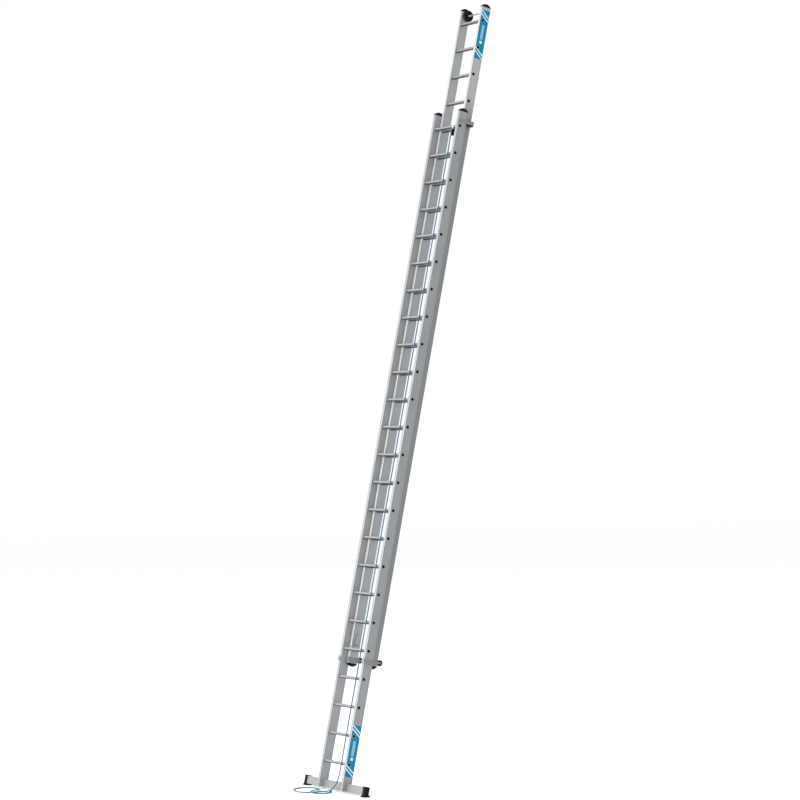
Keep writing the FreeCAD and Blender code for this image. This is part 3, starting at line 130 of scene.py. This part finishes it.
def tube(name, line, radius, sides=12):
    """A mesh tube round a line, with UVs: once round the tube in U, metres along it in V."""
    mesh = bpy.data.meshes.new(name)
    bm = bmesh.new()
    uv = bm.loops.layers.uv.new("UVMap")
    normal = (line[1] - line[0]).orthogonal().normalized()
    rings, along = [], [0.0]
    for i, point in enumerate(line):
        ahead = line[min(i + 1, len(line) - 1)] - line[max(i - 1, 0)]
        ahead.normalize()
        normal = (normal - ahead * normal.dot(ahead)).normalized()
        side = ahead.cross(normal)
        ring = []
        for k in range(sides):
            angle = 2 * math.pi * k / sides
            ring.append(bm.verts.new(point + (normal * math.cos(angle) + side * math.sin(angle)) * radius))
        rings.append(ring)
        if i:
            along.append(along[-1] + (point - line[i - 1]).length)
    for i in range(len(rings) - 1):
        for k in range(sides):
            after = (k + 1) % sides
            face = bm.faces.new((rings[i][k], rings[i][after], rings[i + 1][after], rings[i + 1][k]))
            face.smooth = True
            corners = ((k, i), (k + 1, i), (k + 1, i + 1), (k, i + 1))
            for loop, (u, v) in zip(face.loops, corners, strict=True):
                loop[uv].uv = (u / sides, along[v])
    bm.faces.new(list(reversed(rings[0])))
    bm.faces.new(rings[-1])
    bm.to_mesh(mesh)
    bm.free()
    obj = bpy.data.objects.new(name, mesh)
    bpy.context.scene.collection.objects.link(obj)
    return obj


octagon = PITCH_RADIUS / math.cos(math.pi / 8)
over_sheave = []
for number in range(4):
    angle = math.pi / 8 + number * math.pi / 4
    depth, level = octagon * math.cos(angle), octagon * math.sin(angle)
    over_sheave.append(leaned(STRAND_X, RUNG_Y + depth, SHEAVE_Z + level))
ON_FLOOR = ROPE_RADIUS + 0.0002
HUMP = 0.015  # how far the rope rises to cross over itself
floor_route = [
    (0.132, -0.033, 0.225),
    (0.122, -0.044, 0.150),
    (0.104, -0.056, 0.090),
    (0.074, -0.074, 0.044),
    (0.050, -0.096, 0.017),
    (0.024, -0.124, ON_FLOOR),
    (0.006, -0.164, ON_FLOOR),
    (0.000, -0.222, ON_FLOOR),
    (-0.002, -0.290, ON_FLOOR),
    (-0.026, -0.348, ON_FLOOR),
    (-0.086, -0.376, ON_FLOOR),
    (-0.172, -0.370, ON_FLOOR),
    (-0.262, -0.336, ON_FLOOR),
    (-0.330, -0.276, ON_FLOOR),
    (-0.354, -0.204, ON_FLOOR),
    (-0.334, -0.136, ON_FLOOR),
    (-0.280, -0.094, ON_FLOOR),
    (-0.206, -0.084, ON_FLOOR),
    (-0.138, -0.112, ON_FLOOR),
    (-0.084, -0.158, ON_FLOOR + 0.005),
    (-0.034, -0.218, ON_FLOOR + HUMP),
    (0.016, -0.303, ON_FLOOR + HUMP),
    (0.070, -0.318, ON_FLOOR + 0.006),
    (0.116, -0.281, ON_FLOOR),
    (0.142, -0.226, ON_FLOOR),
    (0.135, -0.170, ON_FLOOR),
    (0.106, -0.132, ON_FLOOR),
]
strand_front = RUNG_Y - PITCH_RADIUS
route = [
    leaned(STRAND_X, RUNG_Y + PITCH_RADIUS, SHEAVE_Z),
    *over_sheave,
    leaned(STRAND_X, strand_front, SHEAVE_Z - 0.072),
    leaned(STRAND_X, strand_front, 0.080),
    leaned(STRAND_X, strand_front, 0.010),
    *[Vector(point) for point in floor_route],
]
rope_line = spline_points(route)
rope = tube("rope_hand_line", subdivided(rope_line, LONGEST_RUN), ROPE_RADIUS)
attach(rope, "base_section")
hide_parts("rope_hand_strand")

# the end knot: a barrel knot of close turns round the rope's end, with a short whipped tail
knot_low, knot_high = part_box("rope_end_knot")
knot_centre = (knot_low + knot_high) / 2
knot_way = (rope_line[-1] - rope_line[-2]).normalized()
knot_side = knot_way.cross(Vector((0, 0, 1))).normalized()
knot_line = []
KNOT_TURNS, KNOT_STEPS = 3.5, 84
KNOT_LENGTH, KNOT_REACH = 0.020, 0.0062
for i in range(KNOT_STEPS + 1):
    share = i / KNOT_STEPS
    angle = 2 * math.pi * KNOT_TURNS * share
    knot_line.append(
        knot_centre
        + knot_way * (KNOT_LENGTH * (share - 0.5))
        + knot_side * (KNOT_REACH * math.cos(angle))
        + Vector((0, 0, 1)) * (KNOT_REACH * math.sin(angle))
    )
knot = tube("rope_stop_knot", knot_line, 0.0047, sides=10)
core_end = knot_way * 0.0155
core = tube("rope_knot_core", [knot_centre - core_end, knot_centre, knot_centre + core_end], 0.0055)
for piece in (knot, core):
    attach(piece, "base_section")
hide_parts("rope_end_knot")

# the lift strand, from the sheave down between the sections to the fly's lowest rung
strand_top = leaned(STRAND_X, RUNG_Y + PITCH_RADIUS, SHEAVE_Z)
TIE_Y = FLY_RUNG_Y - 0.027
strand_foot = leaned(STRAND_X, TIE_Y, FLY_LEVEL + 0.006)
lift = tube("rope_lift_line", subdivided([strand_top, strand_foot], LONGEST_RUN), ROPE_RADIUS)
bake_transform(lift)
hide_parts("rope_lift_strand")

# the hitch: two turns round the rung and three wraps round the strand above them
hitch_line = []
HITCH_TURNS, HITCH_STEPS, HITCH_REACH = 2, 96, 0.0255
for i in range(HITCH_STEPS + 1):
    share = i / HITCH_STEPS
    angle = math.pi + 2 * math.pi * HITCH_TURNS * share
    hitch_line.append(
        leaned(
            STRAND_X - 0.0065 + 0.013 * share,
            FLY_RUNG_Y + HITCH_REACH * math.cos(angle),
            FLY_LEVEL + HITCH_REACH * math.sin(angle),
        )
    )
hitch = tube("rope_hitch_turns", hitch_line, 0.0057, sides=10)
wrap_line = []
WRAP_TURNS, WRAP_STEPS, WRAP_REACH = 3, 72, 0.0072
for i in range(WRAP_STEPS + 1):
    share = i / WRAP_STEPS
    angle = 2 * math.pi * WRAP_TURNS * share
    wrap_line.append(
        leaned(
            STRAND_X + WRAP_REACH * math.cos(angle),
            TIE_Y + WRAP_REACH * math.sin(angle),
            FLY_LEVEL - 0.004 + 0.022 * share,
        )
    )
wraps = tube("rope_hitch_wraps", wrap_line, 0.0045, sides=10)
for piece in (hitch, wraps):
    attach(piece, "fly_section")
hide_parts("rope_tie")

# ---------------------------------------------------------------- material helpers


class Paint:
    """A material with one Principled shader, and short calls for the nodes that feed it."""

    def __init__(self, name, color, rough, metal=0.0):
        self.material = bpy.data.materials.new(name)
        self.material.use_nodes = True
        self.tree = self.material.node_tree
        self.shader = next(n for n in self.tree.nodes if n.type == "BSDF_PRINCIPLED")
        self.shader.inputs["Base Color"].default_value = (*color, 1)
        self.shader.inputs["Roughness"].default_value = rough
        self.shader.inputs["Metallic"].default_value = metal

    def node(self, kind, **settings):
        made = self.tree.nodes.new(kind)
        for key, value in settings.items():
            setattr(made, key, value)
        return made

    def feed(self, socket, value):
        if isinstance(value, bpy.types.NodeSocket):
            self.tree.links.new(value, socket)
        else:
            socket.default_value = value

    def ladder_place(self):
        """Positions along the ladder (right, depth, up the stiles), in metres."""
        source = self.node("ShaderNodeTexCoord").outputs["Object"]
        mapping = self.node("ShaderNodeMapping")
        mapping.inputs["Rotation"].default_value = (LEAN, 0, 0)
        shift = LEAN_MATRIX.inverted() @ -LEAN_SHIFT
        mapping.inputs["Location"].default_value = shift
        self.feed(mapping.inputs["Vector"], source)
        return mapping.outputs["Vector"]

    def row_place(self):
        return self.node("ShaderNodeTexCoord").outputs["Object"]

    def split(self, vector):
        made = self.node("ShaderNodeSeparateXYZ")
        self.feed(made.inputs[0], vector)
        return made.outputs[0], made.outputs[1], made.outputs[2]

    def stretch(self, vector, scale):
        made = self.node("ShaderNodeMapping")
        made.inputs["Scale"].default_value = scale
        self.feed(made.inputs["Vector"], vector)
        return made.outputs["Vector"]

    def noise(self, vector, scale, detail=4.0, rough=0.55):
        made = self.node("ShaderNodeTexNoise")
        self.feed(made.inputs["Vector"], vector)
        made.inputs["Scale"].default_value = scale
        made.inputs["Detail"].default_value = detail
        made.inputs["Roughness"].default_value = rough
        return made.outputs["Fac"]

    def math(self, kind, *values):
        made = self.node("ShaderNodeMath", operation=kind)
        for socket, value in zip(made.inputs, values):
            self.feed(socket, value)
        return made.outputs[0]

    def within(self, value, low, high, soft=0.0004):
        """1 between low and high, 0 outside, with soft edges."""
        up = self.spread(value, low - soft, low + soft, 0, 1)
        down = self.spread(value, high - soft, high + soft, 1, 0)
        return self.math("MULTIPLY", up, down)

    def spread(self, value, a, b, c, d):
        """value's range a to b spread over c to d, and held at the ends."""
        made = self.node("ShaderNodeMapRange")
        for key, number in zip(("From Min", "From Max", "To Min", "To Max"), (a, b, c, d), strict=True):
            made.inputs[key].default_value = number
        self.feed(made.inputs["Value"], value)
        return made.outputs["Result"]

    def mix(self, fac, a, b):
        made = self.node("ShaderNodeMix", data_type="RGBA")
        self.feed(made.inputs["Factor"], fac)
        colors = [s for s in made.inputs if s.type == "RGBA"]
        for socket, color in zip(colors, (a, b), strict=True):
            self.feed(socket, color if isinstance(color, bpy.types.NodeSocket) else (*color, 1))
        return next(s for s in made.outputs if s.type == "RGBA")

    def color(self, value):
        self.feed(self.shader.inputs["Base Color"], value)

    def rough(self, value):
        self.feed(self.shader.inputs["Roughness"], value)

    def bump(self, height, strength, distance):
        made = self.node("ShaderNodeBump")
        made.inputs["Strength"].default_value = strength
        made.inputs["Distance"].default_value = distance
        self.feed(made.inputs["Height"], height)
        self.feed(self.shader.inputs["Normal"], made.outputs["Normal"])


def shade(color):
    """The darker tone of a metal's streaks."""
    return tuple(0.86 * part for part in color)


def aluminium(name, light, dark, rough, metal=0.35, grain=(60, 60, 1.2), streak=0.5):
    """Aluminium: fine streaks along the grain, cloudy patches and small specks."""
    paint = Paint(name, light, rough, metal)
    place = paint.ladder_place()
    streaks = paint.noise(paint.stretch(place, grain), 9.0, 6.0, 0.6)
    clouds = paint.noise(place, 3.2, 3.0)
    specks = paint.noise(place, 420.0, 2.0, 0.5)
    streaked = paint.math("MULTIPLY", streaks, streak)
    blend = paint.math("ADD", streaked, paint.math("MULTIPLY", clouds, 1 - streak))
    paint.blend = paint.spread(blend, 0.33, 0.67, 0, 1)
    paint.tone = paint.mix(paint.blend, dark, light)
    paint.color(paint.tone)
    paint.rough(paint.spread(streaks, 0.3, 0.7, rough - 0.07, rough + 0.09))
    height = paint.math("ADD", streaks, paint.math("MULTIPLY", specks, 0.35))
    paint.bump(height, 0.18, 0.0006)
    return paint


# ---------------------------------------------------------------- materials

SKIN = 0.0012  # deeper than the grooves, so that they belong to the face that they are cut in
SOFT_EDGE = 0.0002
# heights along the ladder over which the fly's outer face goes from its painted shade to a painted lighter
# tone above the base
PAINTED_LIGHT_FROM, PAINTED_LIGHT_TO = 6.45, 6.75


def stile_metal(name, front, outer_x, inner, outer, edge, painted_light_above_base=None):
    """A stile's metal, with painted shade on the outer face and a painted tone of light on the front face,
    lighter on the fly and darker on the base than the inner face.

    The optional last argument is a painted lighter tone for the stretch of the outer face that stands above
    the base, out of the base's shade.
    """
    paint = aluminium(name, inner, shade(inner), 0.42)
    x, y, z = paint.split(paint.ladder_place())
    outside = paint.spread(paint.math("ABSOLUTE", x), outer_x - SKIN - SOFT_EDGE, outer_x - SKIN, 0, 1)
    in_front = paint.spread(y, front + SKIN, front + SKIN + SOFT_EDGE, 1, 0)
    # painted shade: the outer face gets a darker tone than the inner face
    tone_with_painted_shade = paint.mix(outside, paint.tone, paint.mix(paint.blend, shade(outer), outer))
    # painted light: above the base the fly's outer face gets a lighter tone
    if painted_light_above_base:
        above_base = paint.math("MULTIPLY", outside, paint.spread(z, PAINTED_LIGHT_FROM, PAINTED_LIGHT_TO, 0, 1))
        tone_with_painted_shade = paint.mix(above_base, tone_with_painted_shade, painted_light_above_base)
    # painted light and shade: the front face gets a tone of its own, lighter on the fly and darker on the
    # base
    paint.color(paint.mix(in_front, tone_with_painted_shade, paint.mix(paint.blend, shade(edge), edge)))
    return paint


# stiles: painted shade on the outer faces, a painted tone of light on the front faces and, on the fly, a
# painted lighter stretch above the base
stile = stile_metal(
    "stile_metal",
    front=0.0,
    outer_x=BASE_HALF_WIDTH,
    inner=(0.305, 0.320, 0.331),
    outer=(0.262, 0.276, 0.283),
    edge=(0.275, 0.282, 0.289),
)
fly_stile = stile_metal(
    "fly_stile_metal",
    front=FLY_FRONT,
    outer_x=FLY_HALF_WIDTH,
    inner=(0.345, 0.362, 0.374),
    outer=(0.218, 0.231, 0.238),
    edge=(0.40, 0.41, 0.42),
    painted_light_above_base=(0.345, 0.352, 0.358),
)
ROLLED = (14, 14, 14)  # the grain of sheet that was pressed to shape
crossbar = aluminium("crossbar_metal", (0.235, 0.24, 0.252), (0.19, 0.195, 0.205), 0.42, grain=(1.2, 60, 60))
bracket = aluminium(
    "bracket_metal", (0.21, 0.218, 0.224), (0.165, 0.172, 0.178), 0.34, grain=ROLLED, streak=0.35
)
sleeve = aluminium("sleeve_metal", (0.24, 0.245, 0.25), (0.19, 0.195, 0.20), 0.30, grain=(2, 60, 60))

# rungs: ribbed treads, paler flared ends, painted shade on the underside and near-black painted shade in the
# bores
rung = Paint("rung_metal", (0.25, 0.26, 0.265), 0.36, 0.35)
place = rung.ladder_place()
rx, ry, rz = rung.split(place)
streaks = rung.noise(rung.stretch(place, (1.5, 70, 70)), 9.0, 6.0, 0.6)
scuffs = rung.noise(rung.stretch(place, (14, 60, 60)), 2.4, 5.0, 0.65)
tread = rung.mix(rung.spread(streaks, 0.3, 0.7, 0, 1), (0.175, 0.183, 0.190), (0.225, 0.233, 0.240))
worn = rung.mix(rung.spread(scuffs, 0.56, 0.70, 0, 0.5), tread, (0.29, 0.30, 0.305))
away = rung.math("ABSOLUTE", rx)
base_flare = rung.within(away, BASE_HALF_WIDTH - 0.0001, 0.25, SOFT_EDGE)
fly_flare = rung.within(away, FLY_HALF_WIDTH - 0.0001, 0.2052, SOFT_EDGE)
flared = rung.math("MAXIMUM", base_flare, fly_flare)
finish_and_shade = rung.mix(flared, worn, (0.27, 0.28, 0.29))
# each rung's own place: depth and height from its axis, on whichever section it is
height = rung.math("SUBTRACT", rung.math("FLOORED_MODULO", rung.math("ADD", rz, PITCH / 2), PITCH), PITCH / 2)
depths = [rung.math("ABSOLUTE", rung.math("SUBTRACT", ry, at)) for at in (RUNG_Y, FLY_RUNG_Y)]
near_depth = rung.math("MINIMUM", *depths)
squares = rung.math("ADD", rung.math("POWER", near_depth, 2.0), rung.math("POWER", height, 2.0))
from_axis = rung.math("SQRT", squares)
# the underside gets painted shade, except on the flared ends, and the bore and its lip get near-black painted
# shade
under = rung.spread(height, -0.0085, -0.0035, 1, 0)
painted_underside_shade = rung.math("MULTIPLY", under, rung.spread(flared, 0, 1, 1, 0))
finish_and_shade = rung.mix(painted_underside_shade, finish_and_shade, (0.022, 0.023, 0.025))
# painted shade: the inside of each hollow rung and the seam at its flared lip are painted near black
bore_shade = rung.spread(from_axis, 0.0126, 0.0128, 1, 0)
lip_shadow = rung.math("MULTIPLY", flared, rung.spread(from_axis, 0.0150, 0.0156, 1, 0))
rung.color(rung.mix(rung.math("MAXIMUM", bore_shade, lip_shadow), finish_and_shade, (0.004, 0.004, 0.0045)))
rung.rough(rung.spread(scuffs, 0.35, 0.7, 0.42, 0.28))
ridge = rung.math("SINE", rung.math("MULTIPLY", ry, 2500.0))
rung.bump(rung.math("ADD", rung.math("MULTIPLY", ridge, 0.4), streaks), 0.2, 0.0006)

zinc = Paint("zinc_plate", (0.19, 0.195, 0.20), 0.30, 0.6)
place = zinc.row_place()
frost = zinc.noise(place, 180.0, 5.0, 0.6)
tint = zinc.noise(place, 26.0, 3.0)
zinc.color(zinc.mix(zinc.spread(tint, 0.35, 0.65, 0, 1), (0.16, 0.165, 0.172), (0.22, 0.222, 0.218)))
zinc.rough(zinc.spread(frost, 0.3, 0.7, 0.22, 0.40))
zinc.bump(frost, 0.25, 0.0003)


def moulded(name, base, dusty, rough, grain, depth, gloss=0.15):
    """Moulded plastic or rubber: a fine grain, dust in patches and a slight change of sheen."""
    paint = Paint(name, base, rough)
    paint.shader.inputs["Specular IOR Level"].default_value = gloss
    place = paint.row_place()
    fine = paint.noise(place, grain, 3.0, 0.6)
    dust = paint.noise(place, 22.0, 5.0, 0.6)
    paint.color(paint.mix(paint.spread(dust, 0.48, 0.75, 0, 0.7), base, dusty))
    paint.rough(paint.spread(dust, 0.35, 0.7, rough - 0.06, rough + 0.12))
    paint.bump(fine, 0.35, depth)
    return paint


black = moulded(
    "black_moulding", (0.004, 0.004, 0.0044), (0.010, 0.010, 0.011), 0.38, 900.0, 0.0003, gloss=0.12
)
shoe = moulded("shoe_rubber", (0.003, 0.003, 0.0033), (0.009, 0.009, 0.0088), 0.55, 600.0, 0.0005, gloss=0.09)
wheel = moulded(
    "roller_rubber", (0.0035, 0.0035, 0.0038), (0.010, 0.010, 0.010), 0.50, 700.0, 0.0004, gloss=0.10
)
pulley = moulded("pulley_enamel", (0.005, 0.005, 0.006), (0.013, 0.013, 0.014), 0.30, 500.0, 0.0002)
# the strap that hangs the pulley from the rung is plain plated steel
*_, hang = pulley.split(pulley.ladder_place())
strap = pulley.spread(hang, TOP_RUNG_Z - 0.0245, TOP_RUNG_Z - 0.0235, 0, 1)
enamel = pulley.shader.inputs["Base Color"].links[0].from_socket
pulley.color(pulley.mix(strap, enamel, (0.34, 0.345, 0.35)))
hook_plate = aluminium("hook_plate", (0.345, 0.362, 0.374), (0.297, 0.311, 0.322), 0.40, grain=ROLLED)

# rope: a braid of blue yarns with pale flecks, painted darker in the grooves between the yarns as shade
cord = Paint("rope_braid", (0.03, 0.20, 0.52), 0.75)
uv = cord.node("ShaderNodeTexCoord").outputs["UV"]
u, v, _ = cord.split(uv)
turns = cord.math("MULTIPLY", u, 8.0)
lead = cord.math("MULTIPLY", v, 150.0)
one = cord.math("FRACT", cord.math("ADD", turns, lead))
two = cord.math("FRACT", cord.math("SUBTRACT", turns, lead))
bulge_one = cord.math("SINE", cord.math("MULTIPLY", one, math.pi))
bulge_two = cord.math("SINE", cord.math("MULTIPLY", two, math.pi))
braid = cord.math("MULTIPLY", bulge_one, bulge_two)
cell = cord.node("ShaderNodeCombineXYZ")
cord.feed(cell.inputs[0], cord.math("FLOOR", cord.math("ADD", turns, lead)))
cord.feed(cell.inputs[1], cord.math("FLOOR", cord.math("SUBTRACT", turns, lead)))
chance = cord.node("ShaderNodeTexWhiteNoise", noise_dimensions="3D")
cord.feed(chance.inputs["Vector"], cell.outputs[0])
fleck = cord.math("GREATER_THAN", chance.outputs["Value"], 0.95)
# painted shade: the yarn colour darkens from each bulge towards the grooves between the yarns
yarn_with_groove_shade = cord.mix(cord.spread(braid, 0.0, 0.8, 0, 1), (0.026, 0.082, 0.170), (0.040, 0.116, 0.228))
flecked = cord.math("MULTIPLY", fleck, cord.spread(braid, 0.3, 0.8, 0, 0.6))
cord.color(cord.mix(flecked, yarn_with_groove_shade, (0.20, 0.30, 0.42)))
fibres = cord.noise(cord.row_place(), 1800.0, 2.0)
cord.bump(cord.math("ADD", braid, cord.math("MULTIPLY", fibres, 0.2)), 0.3, 0.0005)
cord.shader.inputs["Sheen Weight"].default_value = 0.15
cord.shader.inputs["Specular IOR Level"].default_value = 0.25


LABEL_MARGIN = 0.0052
LABEL_WIDTH = 0.0946
STRIPE_SLOPE = 0.75


def printed_label(name, front, low, high, badge, bar):
    """A printed film: teal, two slanting stripes near each end, a pale square and a plain striped bar."""
    paint = Paint(name, (0.003, 0.16, 0.30), 0.30)
    place = paint.ladder_place()
    _, y, z = paint.split(place)
    wear = paint.noise(place, 40.0, 5.0, 0.6)
    teal = paint.mix(paint.spread(wear, 0.3, 0.7, 0, 1), (0.001, 0.150, 0.275), (0.002, 0.180, 0.325))
    edge = front + LABEL_MARGIN
    slope = paint.math("ADD", z, paint.math("MULTIPLY", paint.math("SUBTRACT", y, edge), STRIPE_SLOPE))
    fall = STRIPE_SLOPE * LABEL_WIDTH
    stripes = None
    for start, way in ((low + fall, 1), (high, -1)):
        for step, wide in ((0.005, 0.012), (0.040, 0.013)):
            centre = start + way * step
            band = paint.within(slope, centre - wide / 2, centre + wide / 2)
            stripes = band if stripes is None else paint.math("MAXIMUM", stripes, band)
    middle = edge + LABEL_WIDTH / 2

    def panel(z_middle, long, wide):
        along = paint.within(z, z_middle - long / 2, z_middle + long / 2)
        return paint.math("MULTIPLY", along, paint.within(y, middle - wide / 2, middle + wide / 2))

    rows = paint.math("SINE", paint.math("MULTIPLY", y, 2 * math.pi / 0.0075))
    striped_bar = paint.math("MULTIPLY", panel(*bar), paint.spread(rows, -0.2, 0.2, 0.15, 0.55))
    pale = paint.mix(striped_bar, teal, (0.55, 0.80, 0.88))
    marked = paint.mix(panel(*badge), pale, (0.42, 0.62, 0.70))
    paint.color(paint.mix(stripes, marked, (0.60, 0.74, 0.78)))
    paint.rough(paint.spread(wear, 0.35, 0.7, 0.24, 0.40))
    paint.bump(wear, 0.1, 0.0002)
    paint.shader.inputs["Specular IOR Level"].default_value = 0.15
    return paint


base_print = printed_label("base_print", 0.0, -0.118, 0.390, (0.057, 0.030, 0.030), (0.161, 0.148, 0.030))
fly_print = printed_label("fly_print", FLY_FRONT, 7.165, 7.668, (7.337, 0.030, 0.030), (7.441, 0.148, 0.030))

finishes = {
    "base_stile": stile,
    "fly_stile": fly_stile,
    "base_rungs": rung,
    "fly_rungs": rung,
    "crossbar_": zinc,
    "base_cap": black,
    "fly_top_cap": black,
    "fly_bottom_cap": black,
    "shoe": shoe,
    "top_bracket_l": bracket,
    "top_bracket_r": bracket,
    "top_guide": black,
    "lower_bracket_l": bracket,
    "lower_bracket_right": bracket,
    "lower_bracket_bolts": zinc,
    "lower_plate": bracket,
    "lower_glides": black,
    "lower_roller_l": wheel,
    "lower_roller_right": wheel,
    "lower_roller_bolts": zinc,
    "base_label": base_print,
    "fly_label": fly_print,
    "pulley_block": pulley,
    "pulley_sheave": black,
    "pulley_pin": zinc,
    "roller_axle": zinc,
    "axle_sleeves": sleeve,
    "axle_washers": zinc,
    "hook": zinc,
    "rung_hook": hook_plate,
    "wall_roller_hub": black,
    "wall_roller_tyre": wheel,
}
for name, obj in NODES.items():
    if obj.hide_render:
        continue
    if name == "crossbar":
        paint = crossbar
    else:
        paint = finishes[max((key for key in finishes if name.startswith(key)), key=len)]
    obj.data.materials.clear()
    obj.data.materials.append(paint.material)
for piece in (rope, knot, core, lift, hitch, wraps):
    piece.data.materials.append(cord.material)

# ---------------------------------------------------------------- floor and light

floor_mesh = bpy.data.meshes.new("floor")
FLOOR_HALF, FLOOR_LEVEL = 60, -0.0005
corners = [(x * FLOOR_HALF, y * FLOOR_HALF, FLOOR_LEVEL) for x, y in ((-1, -1), (1, -1), (1, 1), (-1, 1))]
floor_mesh.from_pydata(corners, [], [(0, 1, 2, 3)])
floor = bpy.data.objects.new("floor", floor_mesh)
bpy.context.scene.collection.objects.link(floor)
pale_floor = Paint("floor_paper", (0.98, 0.98, 0.98), 0.8)
mottle = pale_floor.noise(pale_floor.row_place(), 1.2, 3.0)
pale_floor.color(pale_floor.mix(mottle, (0.975, 0.975, 0.975), (0.99, 0.99, 0.99)))
floor_mesh.materials.append(pale_floor.material)

world = bpy.data.worlds.new("studio")
world.use_nodes = True
bpy.context.scene.world = world
background = next(n for n in world.node_tree.nodes if n.type == "BACKGROUND")
background.inputs["Color"].default_value = (1, 1, 1, 1)
background.inputs["Strength"].default_value = 1.0


def area_light(name, at, towards, wide, high, power):
    data = bpy.data.lights.new(name, "AREA")
    data.shape = "RECTANGLE"
    data.size, data.size_y = wide, high
    data.energy = power
    light = bpy.data.objects.new(name, data)
    light.location = at
    light.rotation_mode = "QUATERNION"
    light.rotation_quaternion = (Vector(towards) - Vector(at)).to_track_quat("-Z", "Y")
    bpy.context.scene.collection.objects.link(light)


area_light("front", (1, -16, 6), (0, 0.7, 3.8), 6, 10, 4200)
area_light("left_front", (-12, -8, 5), (0, 0.7, 3.8), 6, 14, 250)
area_light("above", (2, -3, 16), (0, 0.7, 4), 8, 8, 300)

bpy.context.scene.view_settings.view_transform = "Standard"
